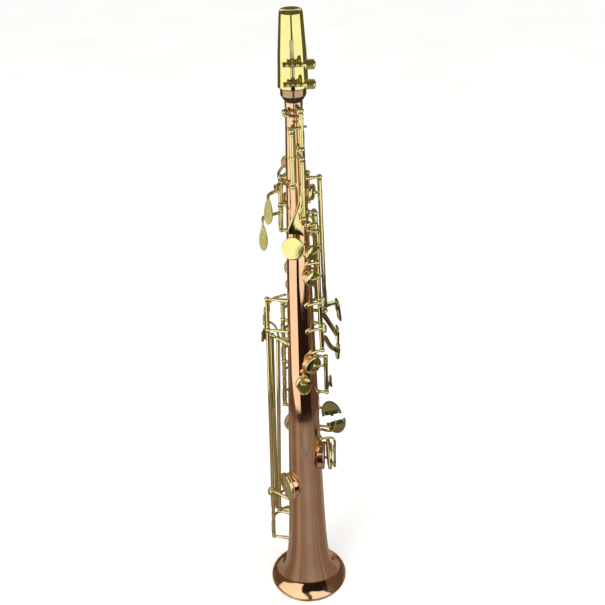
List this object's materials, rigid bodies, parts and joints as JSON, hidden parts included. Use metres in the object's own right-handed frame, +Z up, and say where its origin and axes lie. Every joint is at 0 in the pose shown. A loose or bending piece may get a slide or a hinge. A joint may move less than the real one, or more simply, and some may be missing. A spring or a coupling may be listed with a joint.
{
  "type": "soprano saxophone",
  "caption": "Straight soprano saxophone with copper conical body, flared bell, lacquered brass keys on hinge rods, thumb rest and hook, capped mouthpiece.",
  "frame": {"origin": "on the bore axis in the plane of the bell rim, which the instrument stands on", "axes": "+Z up along the bore to the mouthpiece, -Y the thumb side (back), +X the player's right"},
  "size_m": [0.0943, 0.092, 0.69],
  "materials": {
    "cane": "bare cane",
    "copper": "polished rose copper under clear lacquer",
    "cork": "cork sheet, waxed",
    "ebonite": "polished hard rubber",
    "lacquered_brass": "polished, gold lacquer",
    "pad_leather": "tan leather over felt",
    "roller_black": "polished black",
    "steel": "ground"
  },
  "bodies": {
    "instrument_body": {"bell": "copper", "body_tube": "copper", "low_c_guard": "lacquered_brass", "lower_stack_rod": "steel", "neck_cork": "cork", "octave_left_rod": "steel", "octave_right_rod": "steel", "palm_rod": "steel", "right_finger_rod": "steel", "side_bb_rod": "steel", "side_c_rod": "steel", "side_e_rod": "steel", "strap_ring": "lacquered_brass", "table_front_rod": "steel", "table_inner_rod": "steel", "table_outer_rod": "steel", "thumb_hook": "lacquered_brass", "thumb_rest": "lacquered_brass", "trill_rod": "steel", "upper_stack_rod": "steel"},
    "upper_vent_key": {"upper_vent_key": "lacquered_brass"},
    "octave_rocker": {"octave_rocker": "lacquered_brass"},
    "thumb_octave_lever": {"thumb_octave_lever": "lacquered_brass"},
    "lower_vent_key": {"lower_vent_key": "lacquered_brass"},
    "palm_f_key": {"palm_f_key": "lacquered_brass"},
    "palm_eb_key": {"palm_eb_key": "lacquered_brass"},
    "palm_d_key": {"palm_d_key": "lacquered_brass"},
    "front_f_key": {"front_f_key": "lacquered_brass"},
    "c_vent_key": {"c_vent_key": "lacquered_brass"},
    "b_key": {"b_key": "lacquered_brass"},
    "bis_key": {"bis_key": "lacquered_brass"},
    "a_key": {"a_key": "lacquered_brass"},
    "g_key": {"g_key": "lacquered_brass"},
    "gs_key": {"gs_key": "lacquered_brass"},
    "fsharp_key": {"fsharp_key": "lacquered_brass"},
    "f_key": {"f_key": "lacquered_brass"},
    "e_key": {"e_key": "lacquered_brass"},
    "d_key": {"d_key": "lacquered_brass"},
    "side_e_key": {"side_e_key": "lacquered_brass"},
    "side_c_key": {"side_c_key": "lacquered_brass"},
    "side_bb_key": {"side_bb_key": "lacquered_brass"},
    "fsharp_trill_key": {"fsharp_trill_key": "lacquered_brass"},
    "low_eb_key": {"low_eb_key": "lacquered_brass"},
    "low_c_key": {"low_c_key": "lacquered_brass", "low_c_pad": "pad_leather"},
    "gs_touch": {"gs_touch": "lacquered_brass"},
    "low_csharp_key": {"low_csharp_key": "lacquered_brass"},
    "low_b_key": {"low_b_key": "lacquered_brass", "low_b_pad": "pad_leather"},
    "low_bb_key": {"low_bb_key": "lacquered_brass", "low_bb_pad": "pad_leather"},
    "mouthpiece": {"mouthpiece": "ebonite", "reed": "cane", "ligature": "lacquered_brass"},
    "mouthpiece_cap": {"mouthpiece_cap": "lacquered_brass"},
    "ligature_screw_upper": {"ligature_screw_upper": "lacquered_brass"},
    "ligature_screw_lower": {"ligature_screw_lower": "lacquered_brass"},
    "thumb_hook_screw": {"thumb_hook_screw": "steel"},
    "low_eb_roller": {"low_eb_roller": "roller_black"},
    "low_c_roller": {"low_c_roller": "roller_black"}
  },
  "joints": [
    {"name": "upper_vent_key_hinge", "type": "hinge", "parent": "instrument_body", "child": "upper_vent_key", "pos_m": [0.0062, -0.015, 0.5855], "axis": [0, 0, 1], "range_deg": [0, 9.21], "stiffness_Nm_per_rad": 0.01, "springref_deg": -20.05},
    {"name": "octave_rocker_hinge", "type": "hinge", "parent": "instrument_body", "child": "octave_rocker", "pos_m": [-0.0032, -0.0148, 0.5575], "axis": [0, 0, 1], "range_deg": [0, 8], "stiffness_Nm_per_rad": 0.002, "springref_deg": -20.05},
    {"name": "thumb_octave_lever_hinge", "type": "hinge", "parent": "instrument_body", "child": "thumb_octave_lever", "pos_m": [0.0062, -0.015, 0.5275], "axis": [0, 0, -1], "range_deg": [0, 12], "stiffness_Nm_per_rad": 0.02, "springref_deg": -20.05},
    {"name": "lower_vent_key_hinge", "type": "hinge", "parent": "instrument_body", "child": "lower_vent_key", "pos_m": [0.01752, -0.00651, 0.489], "axis": [-0.0237, 0.0088, 0.9997], "range_deg": [0, 14.39], "stiffness_Nm_per_rad": 0.02, "springref_deg": -20.05},
    {"name": "palm_f_key_hinge", "type": "hinge", "parent": "instrument_body", "child": "palm_f_key", "pos_m": [-0.01494, 0.00404, 0.5264], "axis": [0.0244, -0.0066, 0.9997], "range_deg": [0, 11.72], "stiffness_Nm_per_rad": 0.02, "springref_deg": -20.05},
    {"name": "palm_eb_key_hinge", "type": "hinge", "parent": "instrument_body", "child": "palm_eb_key", "pos_m": [-0.01521, 0.00411, 0.515], "axis": [0.0244, -0.0066, 0.9997], "range_deg": [0, 11.41], "stiffness_Nm_per_rad": 0.02, "springref_deg": -20.05},
    {"name": "palm_d_key_hinge", "type": "hinge", "parent": "instrument_body", "child": "palm_d_key", "pos_m": [-0.01582, 0.00428, 0.4904], "axis": [0.0244, -0.0066, 0.9997], "range_deg": [0, 10.66], "stiffness_Nm_per_rad": 0.02, "springref_deg": -20.05},
    {"name": "front_f_key_hinge", "type": "hinge", "parent": "instrument_body", "child": "front_f_key", "pos_m": [0.011, 0.0125, 0.518], "axis": [0, 0, 1], "range_deg": [0, 7], "stiffness_Nm_per_rad": 0.02, "springref_deg": -20.05},
    {"name": "c_vent_key_hinge", "type": "hinge", "parent": "instrument_body", "child": "c_vent_key", "pos_m": [0.0166, 0.0125, 0.48375], "axis": [-0.0096, -0.0072, 0.9999], "range_deg": [0, 7.96], "stiffness_Nm_per_rad": 0.02, "springref_deg": -20.05},
    {"name": "b_key_hinge", "type": "hinge", "parent": "instrument_body", "child": "b_key", "pos_m": [0.0168, 0.01265, 0.463], "axis": [-0.0096, -0.0072, 0.9999], "range_deg": [0, 6.53], "stiffness_Nm_per_rad": 0.02, "springref_deg": -20.05},
    {"name": "bis_key_hinge", "type": "hinge", "parent": "instrument_body", "child": "bis_key", "pos_m": [0.01699, 0.0128, 0.4432], "axis": [-0.0096, -0.0072, 0.9999], "range_deg": [0, 5.9], "stiffness_Nm_per_rad": 0.02, "springref_deg": -20.05},
    {"name": "a_key_hinge", "type": "hinge", "parent": "instrument_body", "child": "a_key", "pos_m": [0.01718, 0.01294, 0.4237], "axis": [-0.0096, -0.0072, 0.9999], "range_deg": [0, 6.04], "stiffness_Nm_per_rad": 0.02, "springref_deg": -20.05},
    {"name": "g_key_hinge", "type": "hinge", "parent": "instrument_body", "child": "g_key", "pos_m": [0.01737, 0.01308, 0.4037], "axis": [-0.0096, -0.0072, 0.9999], "range_deg": [0, 6.73], "stiffness_Nm_per_rad": 0.02, "springref_deg": -20.05},
    {"name": "gs_key_hinge", "type": "hinge", "parent": "instrument_body", "child": "gs_key", "pos_m": [-0.01853, 0.01302, 0.3781], "axis": [0.0164, -0.0115, 0.9998], "range_deg": [0, 10.1], "stiffness_Nm_per_rad": 0.02, "springref_deg": -20.05},
    {"name": "fsharp_key_hinge", "type": "hinge", "parent": "instrument_body", "child": "fsharp_key", "pos_m": [-0.01894, 0.01331, 0.3534], "axis": [-0.0164, 0.0115, -0.9998], "range_deg": [0, 9.55], "stiffness_Nm_per_rad": 0.02, "springref_deg": -20.05},
    {"name": "f_key_hinge", "type": "hinge", "parent": "instrument_body", "child": "f_key", "pos_m": [-0.01934, 0.01359, 0.32885], "axis": [-0.0164, 0.0115, -0.9998], "range_deg": [0, 10.22], "stiffness_Nm_per_rad": 0.02, "springref_deg": -20.05},
    {"name": "e_key_hinge", "type": "hinge", "parent": "instrument_body", "child": "e_key", "pos_m": [-0.01985, 0.01395, 0.29765], "axis": [-0.0164, 0.0115, -0.9998], "range_deg": [0, 10.69], "stiffness_Nm_per_rad": 0.02, "springref_deg": -20.05},
    {"name": "d_key_hinge", "type": "hinge", "parent": "instrument_body", "child": "d_key", "pos_m": [-0.0203, 0.01426, 0.2702], "axis": [-0.0164, 0.0115, -0.9998], "range_deg": [0, 11.37], "stiffness_Nm_per_rad": 0.02, "springref_deg": -20.05},
    {"name": "side_e_key_hinge", "type": "hinge", "parent": "instrument_body", "child": "side_e_key", "pos_m": [0.0241, 0.00648, 0.4555], "axis": [-0.0241, -0.0065, 0.9997], "range_deg": [0, 12.54], "stiffness_Nm_per_rad": 0.03, "springref_deg": -20.05},
    {"name": "side_c_key_hinge", "type": "hinge", "parent": "instrument_body", "child": "side_c_key", "pos_m": [0.01966, 0.00259, 0.4235], "axis": [-0.0119, -0.0016, 0.9999], "range_deg": [0, 9.75], "stiffness_Nm_per_rad": 0.03, "springref_deg": -20.05},
    {"name": "side_bb_key_hinge", "type": "hinge", "parent": "instrument_body", "child": "side_bb_key", "pos_m": [0.02017, -0.00618, 0.39195], "axis": [-0.0287, 0.0088, 0.9996], "range_deg": [0, 14.79], "stiffness_Nm_per_rad": 0.03, "springref_deg": -20.05},
    {"name": "fsharp_trill_key_hinge", "type": "hinge", "parent": "instrument_body", "child": "fsharp_trill_key", "pos_m": [0.02543, -0.00303, 0.3055], "axis": [-0.0099, 0.0012, 1], "range_deg": [0, 8.69], "stiffness_Nm_per_rad": 0.02, "springref_deg": -20.05},
    {"name": "low_eb_key_hinge", "type": "hinge", "parent": "instrument_body", "child": "low_eb_key", "pos_m": [0.01541, 0.0184, 0.2513], "axis": [0.0077, 0.0092, -0.9999], "range_deg": [0, 9.56], "stiffness_Nm_per_rad": 0.02, "springref_deg": -20.05},
    {"name": "low_c_key_hinge", "type": "hinge", "parent": "instrument_body", "child": "low_c_key", "pos_m": [0.01569, 0.01873, 0.215], "axis": [0.0077, 0.0092, -0.9999], "range_deg": [0, 9.04], "stiffness_Nm_per_rad": 0.02, "springref_deg": -20.05},
    {"name": "gs_touch_hinge", "type": "hinge", "parent": "instrument_body", "child": "gs_touch", "pos_m": [-0.03473, 0.0081, 0.377], "axis": [-0.0214, 0.005, -0.9998], "range_deg": [0, 9], "stiffness_Nm_per_rad": 0.02, "springref_deg": -20.05},
    {"name": "low_csharp_key_hinge", "type": "hinge", "parent": "instrument_body", "child": "low_csharp_key", "pos_m": [-0.02893, 0.00933, 0.2215], "axis": [-0.0342, 0.011, -0.9994], "range_deg": [0, 11.47], "stiffness_Nm_per_rad": 0.03, "springref_deg": -20.05},
    {"name": "low_b_key_hinge", "type": "hinge", "parent": "instrument_body", "child": "low_b_key", "pos_m": [-0.03398, 0.01618, 0.222], "axis": [-0.0199, 0.0095, -0.9998], "range_deg": [0, 8.32], "stiffness_Nm_per_rad": 0.03, "springref_deg": -20.05},
    {"name": "low_bb_key_hinge", "type": "hinge", "parent": "instrument_body", "child": "low_bb_key", "pos_m": [-0.03837, 0.00895, 0.207], "axis": [-0.0214, 0.005, -0.9998], "range_deg": [0, 6.68], "stiffness_Nm_per_rad": 0.03, "springref_deg": -20.05},
    {"name": "tuning_slide", "type": "slide", "parent": "instrument_body", "child": "mouthpiece", "axis": [0, 0, 1], "range_m": [0, 0.008]},
    {"name": "cap_pull_off", "type": "slide", "parent": "mouthpiece", "child": "mouthpiece_cap", "axis": [0, 0, 1], "range_m": [0, 0.075]},
    {"name": "ligature_screw_upper_turn", "type": "hinge", "parent": "mouthpiece", "child": "ligature_screw_upper", "pos_m": [0, -0.018, 0.646], "axis": [1, 0, 0], "range_deg": [-360, 360]},
    {"name": "ligature_screw_lower_turn", "type": "hinge", "parent": "mouthpiece", "child": "ligature_screw_lower", "pos_m": [0, -0.018, 0.6285], "axis": [1, 0, 0], "range_deg": [-360, 360]},
    {"name": "thumb_hook_screw_turn", "type": "hinge", "parent": "instrument_body", "child": "thumb_hook_screw", "pos_m": [0.0012, -0.01901, 0.2995], "axis": [0, 1, 0], "range_deg": [-360, 360]},
    {"name": "low_eb_roller_spin", "type": "hinge", "parent": "low_eb_key", "child": "low_eb_roller", "pos_m": [0.0314, 0.01258, 0.2413], "axis": [-0.9781, 0.0308, -0.2056], "continuous": true},
    {"name": "low_c_roller_spin", "type": "hinge", "parent": "low_c_key", "child": "low_c_roller", "pos_m": [0.03697, 0.01675, 0.22423], "axis": [-0.9705, -0.1234, -0.207], "continuous": true}
  ],
  "couplings": [
    {"joint": "octave_rocker_hinge", "follows": "thumb_octave_lever_hinge", "ratio": 0.6666},
    {"joint": "upper_vent_key_hinge", "follows": "thumb_octave_lever_hinge", "ratio": 0.7677},
    {"joint": "gs_key_hinge", "follows": "gs_touch_hinge", "ratio": 1.1219},
    {"joint": "fsharp_key_hinge", "follows": "f_key_hinge", "ratio": 0.9346},
    {"joint": "c_vent_key_hinge", "follows": "b_key_hinge", "ratio": 1.2173},
    {"joint": "bis_key_hinge", "follows": "a_key_hinge", "ratio": 0.976}
  ]
}
